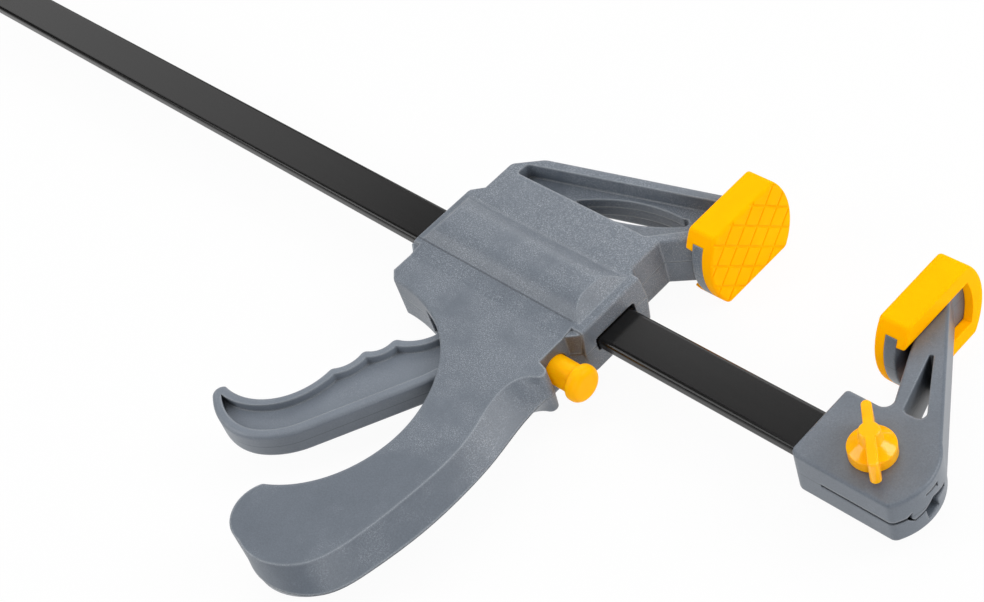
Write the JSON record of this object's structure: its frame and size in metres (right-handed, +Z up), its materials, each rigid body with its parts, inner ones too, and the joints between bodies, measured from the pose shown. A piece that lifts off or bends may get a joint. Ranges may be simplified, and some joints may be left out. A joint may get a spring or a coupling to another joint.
{
  "type": "quick release bar clamp",
  "caption": "One-handed trigger clamp: pistol-grip housing with a padded arm sliding on a flat steel bar towards a fixed padded jaw, with drive plates, brake plate and turn-to-unlock knob",
  "frame": {"origin": "centre of the gripping face of the fixed jaw's pad, on the mid-plane of the clamp", "axes": "+X along the bar towards the fixed jaw, +Y from the grip towards the pads, +Z up with the clamp lying on its side; the bar's centre line is 64 mm towards -Y"},
  "size_m": [0.6056, 0.2511, 0.0416],
  "materials": {
    "grey_nylon": "moulded glass-filled nylon, fine matt texture",
    "yellow_pad": "soft moulded plastic pad, satin",
    "yellow_plastic": "moulded plastic, semi-gloss",
    "bar_steel": "blackened steel bar, satin",
    "bare_steel": "zinc plated steel",
    "spring_steel": "drawn spring wire"
  },
  "bodies": {
    "beam": {"bar": "bar_steel", "bar_stop_pin": "bare_steel", "fixed_jaw": "grey_nylon", "fixed_pad": "yellow_pad", "lock_washer": "spring_steel"},
    "lock": {"lock_pin": "bare_steel", "lock_knob": "yellow_plastic"},
    "housing": {"housing_upper_shell": "grey_nylon", "housing_lower_shell": "grey_nylon", "housing_screws": "bare_steel", "moving_pad": "yellow_pad", "trigger_pin": "bare_steel", "brake_fulcrum": "bare_steel", "drive_spring": "spring_steel", "brake_spring": "spring_steel"},
    "trigger": {"trigger": "grey_nylon"},
    "drive": {"drive_plates": "bare_steel", "drive_washer": "bare_steel"},
    "brake": {"brake_plate": "bare_steel"},
    "button": {"release_button": "yellow_plastic"}
  },
  "joints": [
    {"name": "jaw_slide", "type": "slide", "parent": "beam", "child": "housing", "axis": [1, 0, 0], "range_m": [-0.3, 0.0755]},
    {"name": "knob_turn", "type": "hinge", "parent": "beam", "child": "lock", "pos_m": [0.0308, -0.064, 0], "axis": [0, 0, 1], "range_deg": [0, 90]},
    {"name": "trigger_squeeze", "type": "hinge", "parent": "housing", "child": "trigger", "pos_m": [-0.136, -0.092, 0], "axis": [0, 0, 1], "range_deg": [0, 16], "stiffness_Nm_per_rad": 1.5, "springref_deg": -5.73},
    {"name": "drive_slide", "type": "slide", "parent": "housing", "child": "drive", "axis": [1, 0, 0], "range_m": [-0.0036, 0], "deforming": ["drive_spring"]},
    {"name": "brake_tilt", "type": "hinge", "parent": "housing", "child": "brake", "pos_m": [-0.109, -0.051, 0], "axis": [0, 0, 1], "range_deg": [-4.5, 0], "stiffness_Nm_per_rad": 1, "springref_deg": 4.58, "deforming": ["brake_spring"]},
    {"name": "button_press", "type": "slide", "parent": "housing", "child": "button", "axis": [1, 0, 0], "range_m": [-0.00323, 0]}
  ],
  "couplings": [
    {"joint": "drive_slide", "follows": "trigger_squeeze", "m_per_rad": -0.01283},
    {"joint": "button_press", "follows": "brake_tilt", "m_per_rad": 0.0411}
  ]
}
